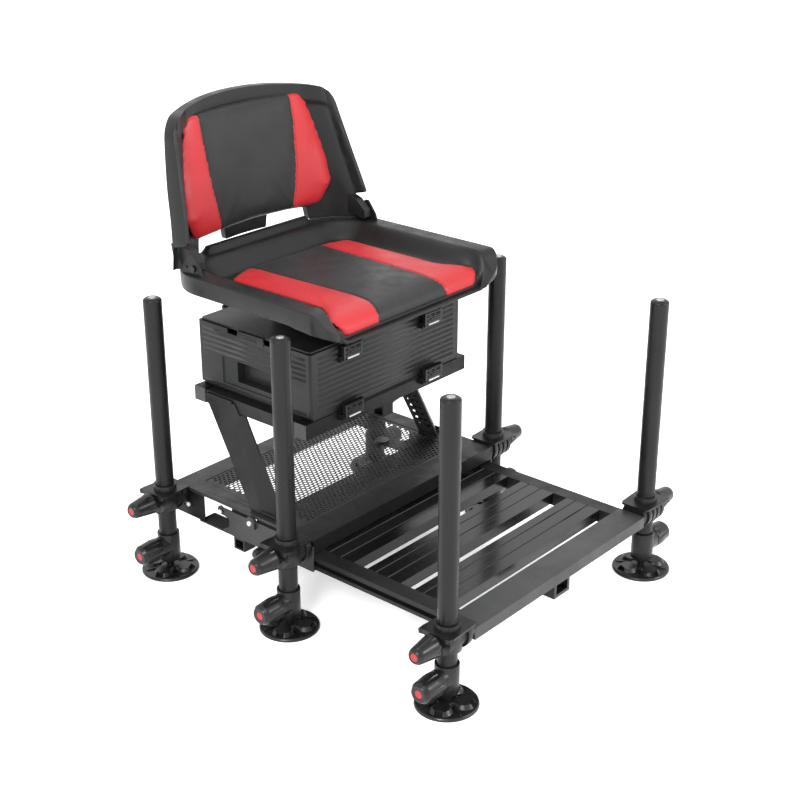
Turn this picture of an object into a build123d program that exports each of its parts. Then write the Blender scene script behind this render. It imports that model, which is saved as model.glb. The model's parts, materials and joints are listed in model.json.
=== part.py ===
# Fishing seat box: six-legged frame with a pull-out footplate, a cradle, a
# storage box with a hinged lid and a fold-down swivel seat.
# Millimetres, +Z up, the sitter faces -Y, the origin is on the ground under
# the middle of the whole object.  "left" is -X and "right" is +X.
from build123d import *
import os
from math import sin, cos, radians, atan2, hypot, pi

# ---------------------------------------------------------------- driving sizes
Y_OFF = -1.7            # moves the modelling datum (middle leg row) to the origin

LEG_X = 311.0           # leg centres from the middle plane
ROWS = {"front": -381.5, "middle": 0.0, "rear": 338.0}
LEG_R = 18.0            # 36 mm leg tube
LEG_WALL = 2.0
LEG_TOP = 578.0
LEG_TRIM = {"middle_left": 5.0, "front_right": -5.0}   # how far each leg is set up or down
LEG_BOTTOM = 40.0
RUN = 0.05              # radial running clearance

CLAMP_H = 52.0
CLAMP_Z = {"front": 114.0, "middle": 140.0, "rear": 140.0}   # underside of each clamp
COLLAR_R = 22.5
BARREL_R = 26.0
FIN_R = 30.5
KNOB_DROP = 4.0         # knob axis below the clamp's middle

DISC_R = 57.4           # mud foot
FOOT_BALL_R = 12.0
FOOT_BALL_Z = 26.0
FOOT_COLLAR = (22.0, 84.0)
FOOT_KNOB_Z = 57.0

TRAY_X = 271.8
TRAY_Y = (-27.5, 354.7)
TRAY_TOP = 176.0
SHEET = 3.0
MESH_X = 230.0
MESH_Y = (30.0, 310.0)
PLATE_BOTTOM = 110.0
MESH_BOSS = (139.0, 164.0)

FP_X = 268.0            # footplate half width
FP_Y = (-407.5, 156.0)
FP_Z = (113.5, 141.4)
RAIL_W = 32.3
BEAM_W = 58.0
REAR_BEAM_W = 53.0
BEAM_BOTTOM = 118.0
PLANKS = ((-323.5, -245.0), (-212.0, -131.5), (-97.0, -16.0), (18.0, 70.0))
PLANK_H = 21.9
FP_TRAVEL = 180.0

CRADLE_X = 234.0
CRADLE_Y = (20.0, 322.0)
CRADLE_Z = (352.0, 382.0)
CRADLE_T = 30.0

BOX_X = 215.7
BOX_Y = (22.0, 321.6)
BOX_Z = (387.7, 513.8)
BOX_WALL = 4.0
LID_T = 4.0
HINGE_Y, HINGE_Z = 327.4, 516.2
HINGE_R = 5.0
PIN_R = 2.5

SWIVEL_Y = 170.0
SEAT_X = 258.5
SEAT_Y = (-56.0, 385.0)
PAN_Z = (578.0, 617.0)
DISH_Z = 584.0
RIM_W = 36.0
BACK_AXIS = (290.0, 629.0)      # y, z of the back's hinge
PAN_AXIS_X = 250.0

PARTS = {}


def put(name, shape):
    """File one node, made of one solid or of several separate ones."""
    PARTS[name] = shape


def box(x0, x1, y0, y1, z0, z1):
    return Pos((x0 + x1) / 2, (y0 + y1) / 2, (z0 + z1) / 2) * Box(abs(x1 - x0), abs(y1 - y0), abs(z1 - z0))


def cyl_x(x0, x1, y, z, r):
    return Pos((x0 + x1) / 2, y, z) * Rot(0, 90, 0) * Cylinder(r, abs(x1 - x0))


def cyl_y(y0, y1, x, z, r):
    return Pos(x, (y0 + y1) / 2, z) * Rot(90, 0, 0) * Cylinder(r, abs(y1 - y0))


def cyl_z(z0, z1, x, y, r):
    return Pos(x, y, (z0 + z1) / 2) * Cylinder(r, abs(z1 - z0))


def cone_x(x0, x1, y, z, r0, r1):
    """Frustum along X, radius r0 at x0 and r1 at x1."""
    return Pos((x0 + x1) / 2, y, z) * Rot(0, 90, 0) * Cone(r0, r1, x1 - x0)


def mirror_x(s):
    return mirror(s, about=Plane.YZ)


def prism(points, z0, z1):
    """Upright prism over a plan outline."""
    f = make_face(Polyline(*[(p[0], p[1], z0) for p in points], close=True))
    return extrude(f, amount=z1 - z0, dir=(0, 0, 1))


def prism_x(points, x0, x1):
    """Prism along X over an outline given as (y, z)."""
    f = make_face(Polyline(*[(x0, p[0], p[1]) for p in points], close=True))
    return extrude(f, amount=x1 - x0, dir=(1, 0, 0))


def prism_y(points, y0, y1):
    """Prism along Y over an outline given as (x, z)."""
    f = make_face(Polyline(*[(p[0], y0, p[1]) for p in points], close=True))
    return extrude(f, amount=y1 - y0, dir=(0, 1, 0))


def group(*solids):
    out = []
    for s in solids:
        out += list(s.solids())
    return Compound(out)


# ---------------------------------------------------------------- leg parts
# Each is built for the right-hand side at x = 0, y = 0 with +x outwards.
def leg_tube(z0, z1, mark):
    t = cyl_z(z0, z1, 0, 0, LEG_R)
    t = fillet(t.edges().group_by(Axis.Z)[-1], 5)
    t -= cyl_z(z0 - 1, z1 - 7, 0, 0, LEG_R - LEG_WALL)
    # set-height mark just above the clamp
    t -= cyl_z(mark, mark + 1.2, 0, 0, LEG_R + 2) - cyl_z(mark - 1, mark + 3, 0, 0, LEG_R - 0.4)
    return t


def leg_clamp(zb, reach):
    """Cast clamp: collar, barrel to the frame with fins on one side, and a hood."""
    zt = zb + CLAMP_H
    za = zb + CLAMP_H / 2 - KNOB_DROP
    zp = zb + 37.5                                   # underside of the hood
    b = cyl_x(-reach, 24.0, 0, za, BARREL_R)
    for x in (-31.0, -16.0, -1.0, 13.5):
        fin = cyl_x(x, x + 10.0, 0, za, FIN_R)
        if x > -20:
            fin &= box(-60, 60, -60, 1, 0, 400)
        b += fin
    b &= box(-60, 60, -60, 60, 0, zp + 1)
    b += cyl_z(zb, zp + 1, 0, 0, BARREL_R) & box(-60, 60, -1, 60, 0, 400)
    c = b + cyl_z(zb, zt, 0, 0, COLLAR_R)
    c += prism([(-reach, -27), (-reach, 27), (-reach + 6, 31), (24, 34), (33, 31), (35, 24), (35, -26), (37, -34), (24, -35), (-reach + 6, -31)], zp, zp + 4)
    c += prism([(31.5, -30), (35.5, -34), (36.8, -33.5), (35, -26), (35, 24), (33, 31), (31.5, 28)], zp - 5, zp + 1)
    c -= cyl_z(zb - 12, zt + 12, 0, 0, LEG_R + RUN)
    c -= cyl_x(15, 30, 0, za, 4.05)                   # screw hole of the clamp knob
    c -= cyl_x(24.05, 45, 0, za, 14.5)                # room for the knob's neck
    return c


def clamp_knob():
    """Tapered fluted knob with an inset end, its neck and its screw."""
    k = cyl_x(18.5, 25, 0, 0, 4.0)
    k += cone_x(24.3, 38, 0, 0, 13.5, 14.0)
    k += cone_x(37.4, 42, 0, 0, 19.5, 21.5)
    k += cone_x(42, 82, 0, 0, 21.5, 15.8)
    k += cone_x(82, 86.5, 0, 0, 15.8, 13.6)
    k += cone_x(86.5, 89, 0, 0, 13.6, 10.9)
    k -= cyl_x(87.2, 95, 0, 0, 8.4)
    for i in range(6):
        a = radians(60 * i)
        k -= Pos(0, 25.2 * cos(a), 25.2 * sin(a)) * Rot(0, 90, 0) * Pos(0, 0, 62) * Cylinder(6, 44)
    return k


def foot_collar():
    zb, zt = FOOT_COLLAR
    c = cyl_z(zb + 6, zt, 0, 0, 22)
    c += cyl_z(zb, zb + 7, 0, 0, 17)
    c += cyl_x(0, 28.5, 0, FOOT_KNOB_Z, 21)
    c -= cyl_x(15, 40, 0, FOOT_KNOB_Z, 4.05)
    c -= cyl_z(LEG_BOTTOM, zt + 1, 0, 0, LEG_R + 0.02)
    c -= Pos(0, 0, FOOT_BALL_Z) * Sphere(FOOT_BALL_R + 0.3)
    return c


def foot_knob():
    k = cyl_x(18.5, 30, 0, 0, 4.0)
    k += cone_x(28.8, 42, 0, 0, 21.5, 22.5)
    k += cone_x(42, 70, 0, 0, 22.5, 20.5)
    k += cone_x(70, 77, 0, 0, 20.5, 15.5)
    k -= cyl_x(75.2, 80, 0, 0, 8.5)
    for i in range(8):
        a = radians(45 * i + 22.5)
        k -= Pos(0, 27.0 * cos(a), 27.0 * sin(a)) * Rot(0, 90, 0) * Pos(0, 0, 55) * Cylinder(6.5, 46)
    return k


def mud_foot():
    """Round foot with four domed pockets, notched at the rim, round a hub."""
    d = cyl_z(0, 3.5, 0, 0, DISC_R)
    d += Pos(0, 0, 4.75) * Cone(DISC_R, DISC_R - 2, 2.5)
    d += Pos(0, 0, 8.0) * Cone(25, 18, 6)
    d += cyl_z(10, 20, 0, 0, 7.5)
    for i in range(4):
        lobe = Pos(32, 0, 8.2) * Cone(23, 15.5, 9.6)
        lobe &= cyl_z(2, 30, 0, 0, DISC_R - 5)
        lobe -= prism([(43, -7), (43, 7), (60, 9.5), (60, -9.5)], 6.0, 20)
        lobe -= prism([(49, -30), (49, -12.5), (60, -15), (60, -30)], 6.0, 20)
        lobe -= prism([(49, 30), (49, 12.5), (60, 15), (60, 30)], 6.0, 20)
        d += Rot(0, 0, 90 * i + 67) * lobe
        d += Rot(0, 0, 90 * i + 22) * prism_y([(14, 5), (54, 5), (50, 7.4), (22, 10.0), (14, 10.5)], -1.2, 1.2)
    d += Pos(0, 0, FOOT_BALL_Z) * Sphere(FOOT_BALL_R)
    return d


def place(shape, side, row, z=0.0):
    """Put a right-hand leg part at its leg, mirrored for the left side."""
    s = shape if side == "right" else mirror_x(shape)
    x = LEG_X if side == "right" else -LEG_X
    return Pos(x, ROWS[row], z) * s


frame_clamps, foot_clamps = [], []
tube_cache = {}
for row in ROWS:
    reach = LEG_X - 272.0 if row != "front" else LEG_X - FP_X
    clamp = leg_clamp(CLAMP_Z[row], reach)
    for side in ("left", "right"):
        tag = row + "_" + side
        trim = LEG_TRIM.get(tag, 0.0)
        mark = CLAMP_Z[row] + CLAMP_H + 8
        put("leg_tube_" + tag, place(leg_tube(LEG_BOTTOM, LEG_TOP + trim, mark), side, row))
        # the same casting on both sides, turned half round on the left
        turned = Pos(LEG_X, ROWS[row], 0) * clamp if side == "right" else Pos(-LEG_X, ROWS[row], 0) * Rot(0, 0, 180) * clamp
        (foot_clamps if row == "front" else frame_clamps).append(turned)
        zk = CLAMP_Z[row] + CLAMP_H / 2 - KNOB_DROP
        put("clamp_knob_" + tag, place(clamp_knob(), side, row, zk))
        put("foot_collar_" + tag, place(foot_collar(), side, row))
        put("foot_knob_" + tag, place(foot_knob(), side, row, FOOT_KNOB_Z))
        put("mud_foot_" + tag, place(mud_foot(), side, row))
# square accessory socket under the left side plate
sq = box(-272.0, -243.0, 158.0, 187.0, 84.5, 109.8)
sq -= box(-280.0, -230.0, 162.0, 183.0, 88.0, 106.0)
put("frame_leg_clamps", group(*frame_clamps, sq))
put("footplate_leg_clamps", group(*foot_clamps))

# ---------------------------------------------------------------- tray
t = box(-TRAY_X, TRAY_X, TRAY_Y[0], TRAY_Y[1], TRAY_TOP - SHEET, TRAY_TOP)
t -= box(-MESH_X, MESH_X, MESH_Y[0], MESH_Y[1], 100, 200)
t += box(-268.6, 268.6, TRAY_Y[0], TRAY_Y[0] + SHEET, 147.0, TRAY_TOP)          # front apron
t += box(-TRAY_X, TRAY_X, TRAY_Y[1] - SHEET, TRAY_Y[1], 114.0, TRAY_TOP)          # rear wall
for sgn in (-1, 1):
    lo, hi = sorted((sgn * (TRAY_X - 2.5), sgn * TRAY_X))
    t += box(lo, hi, TRAY_Y[0], TRAY_Y[1], 169.5, TRAY_TOP)                         # turned-down side edges
    t += box(lo, hi, 270.0, TRAY_Y[1], 112.9, TRAY_TOP)                             # rear side brackets
    t -= cyl_x(sgn * 260, sgn * 280, 313.0, 139.0, 3.05) if sgn > 0 else cyl_x(-280, -260, 313.0, 139.0, 3.05)
put("tray_frame", t)

mesh = box(-MESH_X + 0.2, MESH_X - 0.2, MESH_Y[0] + 0.2, MESH_Y[1] - 0.2, TRAY_TOP - SHEET, TRAY_TOP - 1.0)
mesh -= cyl_z(160, 190, *MESH_BOSS, 3.1)
put("mesh_panel", mesh)

# side plates: outer plate with a lug round the rear bolt, and the runner flange
plate_line = [(TRAY_Y[0], PLATE_BOTTOM), (215, PLATE_BOTTOM), (217.5, 116), (206, 121), (199, 128), (198.8, 143), (212, 146.5), (226, 147.5), (231, 154), (228.5, 162), (222, 165.2), (214, 162.5), (TRAY_Y[0], 162.5)]
sp = prism_x(plate_line, 269.0, 272.0)
sp += box(232.0, 272.0, TRAY_Y[0] + 2, 285.0, 109.8, 112.8)
sp += box(259.5, 269.5, 60.0, 200.0, 150.0, 153.0)               # ties to the tray sheet
sp += box(259.5, 262.5, 60.0, 200.0, 150.0, 172.9)
sp += box(259.5, 269.5, TRAY_Y[0] + 6, -12.0, 150.0, 153.0)
sp += box(259.5, 262.5, TRAY_Y[0] + 6, -12.0, 150.0, 172.9)
sp += cyl_x(271.8, 278.6, 133.0, 161.0, 11.5) + box(271.8, 278.6, 121.5, 144.5, 149.0, 161.0)   # raised bolt boss
sp -= cyl_x(250, 290, 220.0, 154.0, 3.1)
sp -= cyl_x(250, 290, 133.0, 160.0, 3.1)
sp -= cyl_x(240, 280, 80.0, 127.0, 5.1)                            # lock knob's screw hole
put("side_plates", group(sp, mirror_x(sp)))

# struts: folded plates that lean back and inwards: an outer face, a front face
# folded at 45 degrees, and a slotted inner face
STRUT_Z = (TRAY_TOP, 372.0)


def strut():
    z0, z1 = STRUT_Z
    low = [(262, 145), (262, 115), (235, 88), (232, 88), (232, 140), (235, 140), (235, 93.66), (258, 116.66), (258, 145)]
    high = [(236, 290), (236, 212), (225, 201), (222, 201), (222, 262), (225, 262), (225, 206.66), (232, 213.66), (232, 290)]
    faces = [make_face(Polyline(*[(x, y, z) for x, y in pts], close=True)) for pts, z in ((low, z0), (high, z1))]
    s = loft(faces, ruled=True)
    s -= box(150, 234.0, 0, 400, 351, 400)
    for i in range(13):
        t = 0.1 + 0.062 * i
        yc, zc = 114 + 117.5 * t, z0 + (z1 - z0) * t
        xi = 233.5 - 10 * t
        for w in (-13.0, 0.0, 13.0):
            s -= box(xi - 4, xi + 4, yc + w - 4.4, yc + w + 4.4, zc - 2.6, zc + 2.6)
    s += box(258.5, 262.0, 76.0, 124.0, z0, z0 + 9)                # foot flange
    s += box(233.5, 260.0, 104.0, 142.0, z0, z0 + 4)               # foot
    s += box(232.0, 236.0, 216.0, 286.0, 355.0, 376.0)             # tab on the side rail
    return s


st = strut()
for y in (119.5, 134.0):
    st -= cyl_z(160, 190, 248, y, 3.2)
put("struts", group(st, mirror_x(st)))

# ---------------------------------------------------------------- cradle
def rail_x(y0, y1):
    r = box(-CRADLE_X, CRADLE_X, y0, y1, CRADLE_Z[0], CRADLE_Z[1])
    r -= box(-CRADLE_X + 3, CRADLE_X - 3, y0 + 2.5, y1 - 2.5, CRADLE_Z[0] + 2.5, CRADLE_Z[1] - 2.5)
    return r


front_rail = rail_x(CRADLE_Y[0], CRADLE_Y[0] + CRADLE_T)
front_rail += box(-15, 15, 24.0, 49.0, 325.0, CRADLE_Z[0] + 1) - box(-20, 20, 27.0, 46.0, 328.0, CRADLE_Z[0] - 3)   # hanging socket
put("cassette_cross_rails", group(front_rail, rail_x(CRADLE_Y[1] - CRADLE_T, CRADLE_Y[1])))
sr = box(204.0, 232.0, CRADLE_Y[0] + CRADLE_T, CRADLE_Y[1] - CRADLE_T, 354.0, 380.0)
sr -= box(206.5, 229.5, CRADLE_Y[0], CRADLE_Y[1], 356.5, 377.5)
put("cassette_side_rails", group(sr, mirror_x(sr)))

# ---------------------------------------------------------------- storage box
bx = box(-BOX_X, BOX_X, BOX_Y[0], BOX_Y[1], BOX_Z[0], BOX_Z[1])
bx = fillet(bx.edges().filter_by(Axis.Z), 5)
bx += box(-BOX_X + 5, BOX_X - 5, BOX_Y[0] + 0.6, BOX_Y[1] - 5, CRADLE_Z[1], BOX_Z[0] + 1)
bx -= box(-BOX_X + BOX_WALL, BOX_X - BOX_WALL, BOX_Y[0] + BOX_WALL, BOX_Y[1] - BOX_WALL, BOX_Z[0] + 3.5, BOX_Z[1] + 1)
for sgn in (-1, 1):
    xo, xi = sgn * BOX_X, sgn * (BOX_X - 26)
    lo, hi = sorted((xo - sgn * 1.0, xi))
    bx += box(lo, hi, 121, 222, 405, 456)                       # housing of the hand grip
    lo, hi = sorted((xo + sgn * 1.0, sgn * (BOX_X - 22)))
    bx -= box(lo, hi, 125, 218, 410, 451)                       # hand grip pocket
    lo, hi = sorted((xo + sgn * 1.0, sgn * (BOX_X - 2.2)))
    bx -= box(lo, hi, 86, 257, 400, 453)                        # shallow recess round it
    # raised rim notch over the grip
    lo, hi = sorted((xo + sgn * 1.0, sgn * (BOX_X - BOX_WALL - 1)))
    bx -= box(lo, hi, 110, 240, 505, 520)
# hinge knuckles on the rear wall
for xc in (-120, 120):
    for x0, x1 in ((xc - 24, xc - 10.2), (xc + 10.2, xc + 24)):
        k = box(x0, x1, BOX_Y[1] - 1, HINGE_Y, HINGE_Z - 14, HINGE_Z)
        k += cyl_x(x0, x1, HINGE_Y, HINGE_Z, HINGE_R)
        bx += k
    bx -= cyl_x(xc - 30, xc + 30, HINGE_Y, HINGE_Z, PIN_R + 0.02)
put("storage_box", bx)

lid = box(-BOX_X + 4, BOX_X - 4, BOX_Y[0] + 4, BOX_Y[1] - 4, BOX_Z[1] + 0.3, BOX_Z[1] + 0.3 + LID_T)
lid = fillet(lid.edges().filter_by(Axis.Z), 6)
for xc in (-120, 120):
    lid += box(xc - 9.8, xc + 9.8, BOX_Y[1] - 6, HINGE_Y, BOX_Z[1] + 0.3, BOX_Z[1] + 0.3 + LID_T)
    lid += cyl_x(xc - 9.8, xc + 9.8, HINGE_Y, HINGE_Z, HINGE_R)
    lid -= cyl_x(xc - 30, xc + 30, HINGE_Y, HINGE_Z, PIN_R + RUN)
LID_TOP = BOX_Z[1] + 0.3 + LID_T
put("box_lid", lid)
put("lid_hinge_pins", group(*[cyl_x(xc - 25, xc + 25, HINGE_Y, HINGE_Z, PIN_R) for xc in (-120, 120)]))

# ---------------------------------------------------------------- toggle latches
# upper pair joins the box to its lid, lower pair joins the cradle to the box
LATCH_X = (88.0, 145.0)
bases = []


def latch(z0, z1, yb):
    """Lever: ribbed plate that turns on a pin along its lower edge."""
    x0, x1 = LATCH_X
    v = box(x0 + 3, x1 - 3, yb - 15.5, yb - 7, z0 + 3, z1)
    v = fillet(v.edges().filter_by(Axis.X).group_by(Axis.Y)[0], 2.5)
    v += cyl_x(x0 + 3, x1 - 3, yb - 7.5, z0 + 5, 4.2)
    for i in range(5):
        zz = z0 + 12.5 + i * 4.2
        v -= box(x0 + 8, x1 - 8, yb - 17, yb - 14.3, zz, zz + 1.8)
    v -= cyl_x(x0 - 5, x1 + 5, yb - 7.5, z0 + 5, 1.6 + RUN)
    return v


def latch_base(z0, z1, yb, dz):
    x0, x1 = LATCH_X
    b = box(x0 + 3.2, x1 - 3.2, yb - 2.4, yb, z0 + dz, z1 - 5)
    for a, c in ((x0, x0 + 2.7), (x1 - 2.7, x1)):
        b += box(a, c, yb - 12, yb, z0, z0 + 12)
        b += box(min(a, x0 + 2.7), max(c, x0 + 3.4), yb - 2.4, yb, z0 + 2, z0 + 12) if a == x0 else box(x1 - 3.4, c, yb - 2.4, yb, z0 + 2, z0 + 12)
    b += cyl_x(x0, x1, yb - 7.5, z0 + 5, 1.6)
    return b


UP = (482.0, 515.0)
LOW = (365.0, 398.0)
for nm, sgn in (("left", -1), ("right", 1)):
    for lv, (z0, z1), yb in (("upper", UP, BOX_Y[0]), ("lower", LOW, CRADLE_Y[0])):
        v = latch(z0, z1, yb)
        b = latch_base(z0, z1, yb, 11.0)
        if sgn < 0:
            v, b = mirror_x(v), mirror_x(b)
        put("latch_%s_%s" % (lv, nm), v)
        bases.append(b)
put("latch_bases", group(*bases))

# ---------------------------------------------------------------- swivel
sb = box(-87, 87, SWIVEL_Y - 87, SWIVEL_Y + 87, LID_TOP, LID_TOP + 3)
sb = fillet(sb.edges().filter_by(Axis.Z), 12)
sb += cyl_z(LID_TOP + 2, 529.0, 0, SWIVEL_Y, 66) - cyl_z(LID_TOP + 1, 540, 0, SWIVEL_Y, 54)
sb += cyl_z(LID_TOP + 2, 532.2, 0, SWIVEL_Y, 8.0)
put("swivel_base", sb)
sw = box(-87, 87, SWIVEL_Y - 87, SWIVEL_Y + 87, 529.4, 532.4)
sw = fillet(sw.edges().filter_by(Axis.Z), 12)
sw += cyl_z(522.5, 530, 0, SWIVEL_Y, 22)
sw -= cyl_z(500, 560, 0, SWIVEL_Y, 8.0 + RUN)
put("swivel_plate", sw)

# ---------------------------------------------------------------- seat pan
def rounded_plan(x, y0, y1, rf, rr, z):
    """Plan outline with separate front and rear corner radii."""
    k = sin(radians(45))
    p = [(x, y0 + rf), (x, y1 - rr)]
    e = [Line((x, y0 + rf, z), (x, y1 - rr, z)),
         ThreePointArc((x, y1 - rr, z), (x - rr + rr * k, y1 - rr + rr * k, z), (x - rr, y1, z)),
         Line((x - rr, y1, z), (-x + rr, y1, z)),
         ThreePointArc((-x + rr, y1, z), (-x + rr - rr * k, y1 - rr + rr * k, z), (-x, y1 - rr, z)),
         Line((-x, y1 - rr, z), (-x, y0 + rf, z)),
         ThreePointArc((-x, y0 + rf, z), (-x + rf - rf * k, y0 + rf - rf * k, z), (-x + rf, y0, z)),
         Line((-x + rf, y0, z), (x - rf, y0, z)),
         ThreePointArc((x - rf, y0, z), (x - rf + rf * k, y0 + rf - rf * k, z), (x, y0 + rf, z))]
    return make_face(Wire(e))


outline = rounded_plan(SEAT_X, SEAT_Y[0], SEAT_Y[1], 35, 110, PAN_Z[0])
pan = extrude(outline, amount=PAN_Z[1] - PAN_Z[0], dir=(0, 0, 1))
# dished inside, the sides sloping up to a flat rim
low_face = rounded_plan(176, -160, 318, 20, 60, DISH_Z)
high_face = rounded_plan(SEAT_X - RIM_W, -160, 350, 20, 86, PAN_Z[1])
pan -= loft([low_face, high_face])
pan -= extrude(high_face, amount=30, dir=(0, 0, 1))
# raised lip along the middle of the rear rim
pan += prism_x([(354, 612), (385, 612), (385, 626), (381, 631), (372, 631), (360, 622)], -144, 144)
# hollow under the rim
ring = extrude(rounded_plan(SEAT_X - 4, SEAT_Y[0] + 4, SEAT_Y[1] - 4, 31, 106, PAN_Z[0] - 1), amount=612 - PAN_Z[0] + 1, dir=(0, 0, 1))
ring -= extrude(rounded_plan(227, -160, 355, 20, 90, PAN_Z[0] - 2), amount=80, dir=(0, 0, 1))
ring += extrude(rounded_plan(228, -160, 356, 20, 90, PAN_Z[0] - 1), amount=595 - PAN_Z[0] + 1, dir=(0, 0, 1)) \
    - extrude(rounded_plan(200, -170, 338, 20, 80, PAN_Z[0] - 2), amount=80, dir=(0, 0, 1))
ring -= box(-400, 400, -300, 26, 500, 700)
pan -= ring
pan += box(-186, 186, 10, 330, 577, DISH_Z)
# front roll with a ledge for the cushion's front hem, and the solid corners
# beside it, whose tops carry on the dish's slope
roll = prism_x([(14, DISH_Z), (-4, 583.5), (-20, 581), (-31, 574.5), (-36.5, 566.5), (-37.5, 555), (-52, 555), (-52, 550), (-48, 547), (-41, 547), (-34, 552), (-24, 572), (-8, 577), (14, 577)], -176, 176)
corner = prism_x([(26, 578), (26, 600), (-56, 600), (-56, 566), (-53, 556), (-46, 549), (-40, 549), (-33, 553), (-24, 571), (-8, 578)], 172, 246)
corner &= extrude(rounded_plan(SEAT_X, SEAT_Y[0], SEAT_Y[1], 35, 110, 500), amount=200, dir=(0, 0, 1))
corner -= loft([low_face, high_face])
pan += roll + corner + mirror_x(corner)
# each front corner: the chin rises outwards, and the rim ends in a rounded nose
# whose facets run out forwards
for sgn in (-1, 1):
    chin = prism_y([(193.3, 547.4), (259.6, 578.0), (259.6, 530), (193.3, 530)], -70, 14)
    nose = make_face(Polyline(*[(186, y + 8.5, z - 1.9) for y, z in [(4, 618.5), (-8, 611), (-18, 601), (-26, 591), (-34, 581), (-43, 574), (-50, 565), (-56, 553), (-70, 540), (-130, 540), (-130, 700), (4, 700)]], close=True))
    nose = extrude(nose, amount=78 * hypot(1, 0.45, 0.1), dir=(1, -0.45, 0.1))
    for cut in (chin, nose):
        pan -= cut if sgn > 0 else mirror_x(cut)
CUSH_PLAN = [(-168, 303), (-172, 274), (-167, 34), (-205, -18), (-204, -34), (-187, -45), (-184, -46), (184, -46), (187, -45), (204, -34), (205, -18), (167, 34), (172, 274), (168, 303)]
CUSH_LINE = [(303, 585.0), (303, 591), (292, 597), (20, 596), (-4, 594), (-22, 589), (-34, 581), (-41, 571), (-43.5, 556.5), (-38.6, 556.5), (-37.6, 567), (-31.8, 575.6), (-20.4, 582.2), (-4, 584.6)]
# room for the cushion, 1 mm clear all round
room = prism([(-173, 312), (-173, 34), (-210, -20), (-209, -36), (-192, -50), (-190, -60), (190, -60), (192, -50), (209, -36), (210, -20), (173, 34), (173, 312)], 500, 700)
room &= prism_x([(312, 584.0), (312, 640), (-70, 640), (-70, 555.2), (-37.7, 555.2), (-36.8, 566.4), (-31.1, 574.4), (-20, 581.0), (-4, 583.5), (14, 584.0)], -300, 300)
pan -= room
# mounting block on the swivel, pocketed from below
pan += box(-84, 84, SWIVEL_Y - 84, SWIVEL_Y + 84, 532.4, 578)
for px in (-43, 43):
    for py in (-43, 43):
        pan -= box(px - 36, px + 36, SWIVEL_Y + py - 36, SWIVEL_Y + py + 36, 520, 574)
put("seat_pan", pan)

cu = prism_x(CUSH_LINE, -300, 300) & prism(CUSH_PLAN, 500, 700)
put("seat_cushion", cu)

# hinge brackets for the back, standing on the pan's rim
br_line = [(268, 617), (328, 617), (322, 628), (308, 648), (300, 656), (292, 656), (284, 646), (272, 630)]
br = prism_x(br_line, 243.0, 247.0)
br -= cyl_x(230, 260, BACK_AXIS[0], BACK_AXIS[1], 4.0)
br -= cyl_x(230, 260, 308, 630, 2.6)
put("back_hinge_brackets", group(br, mirror_x(br)))

# ---------------------------------------------------------------- back
def lerp(table, z):
    for (za, va), (zb, vb) in zip(table[:-1], table[1:]):
        if za <= z <= zb:
            return va + (vb - va) * (z - za) / (zb - za)
    return table[0][1] if z < table[0][0] else table[-1][1]


W_T = [(619, 258.0), (661, 253.5), (707, 244), (763, 234), (831, 223), (891, 214), (912, 211)]
YR_E = [(619, 333), (661, 338), (707, 350), (763, 367), (831, 380), (891, 388), (912, 390)]   # rear edge at the sides
YF_E = [(619, 296), (661, 298), (707, 310), (763, 327), (831, 348), (891, 367), (912, 373)]   # front edge at the sides
YR_C = [(619, 423), (661, 425), (707, 428), (763, 431), (831, 436), (891, 441), (912, 442.5)]  # rear at the middle
SHELL_T = 18.0


def back_section(z):
    w, re, fe, rc = lerp(W_T, z), lerp(YR_E, z), lerp(YF_E, z), lerp(YR_C, z)
    d = rc - re
    fc = rc - SHELL_T
    xi = w - 16
    yi = fc - d * (xi / w) ** 2 - 2
    e = [ThreePointArc((-w, re, z), (0, rc, z), (w, re, z)),
         Line((w, re, z), (w, fe, z)),
         Line((w, fe, z), (w - 10, fe, z)),
         Line((w - 10, fe, z), (xi, yi, z)),
         ThreePointArc((xi, yi, z), (0, fc, z), (-xi, yi, z)),
         Line((-xi, yi, z), (-w + 10, fe, z)),
         Line((-w + 10, fe, z), (-w, fe, z)),
         Line((-w, fe, z), (-w, re, z))]
    return make_face(Wire(e))


shell = loft([back_section(z) for z in (619, 661, 707, 763, 831, 912)], ruled=True)
# arched top edge
arch = make_face(Wire([Line((-300, 300, 560), (300, 300, 560)), Line((300, 300, 560), (300, 300, 868)),
                       Line((300, 300, 868), (216, 300, 887)), ThreePointArc((216, 300, 887), (0, 300, 910), (-216, 300, 887)),
                       Line((-216, 300, 887), (-300, 300, 868)), Line((-300, 300, 868), (-300, 300, 560))]))
shell &= extrude(arch, amount=200, dir=(0, 1, 0)) + extrude(arch, amount=-60, dir=(0, 1, 0))
# openings along the foot of the back
for sgn in (-1, 1):
    lo, hi = sorted((sgn * 60, sgn * 150))
    shell -= box(lo, hi, 330, 460, 600, 646)
    # arched pocket round the hinge bracket
    lo, hi = sorted((sgn * 236, sgn * 300))
    pocket = prism_x([(262, 600), (334, 600), (328, 640), (316, 656), (304, 662), (290, 662), (262, 662)], 241.5, 300)
    pocket = pocket if sgn > 0 else mirror_x(pocket)
    shell -= pocket
# pivot bosses reach forward to the hinge axis inside the brackets
for sgn in (-1, 1):
    boss = prism_x([(281, 623.5), (298, 622), (352, 632), (356, 664), (300, 664), (283, 640)], 222.0, 241.4)
    boss = boss if sgn > 0 else mirror_x(boss)
    shell += boss
    lo, hi = sorted((sgn * 200, sgn * 244))
    shell -= cyl_x(lo, hi, BACK_AXIS[0], BACK_AXIS[1], 4.0)
put("back_shell", shell)
pin = cyl_x(223, 247, BACK_AXIS[0], BACK_AXIS[1], 4.0 - RUN) + cyl_x(247.05, 251.0, BACK_AXIS[0], BACK_AXIS[1], 6.5) + cyl_x(246.9, 247.2, BACK_AXIS[0], BACK_AXIS[1], 3.0)
put("back_hinge_pins", group(pin, mirror_x(pin)))

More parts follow.
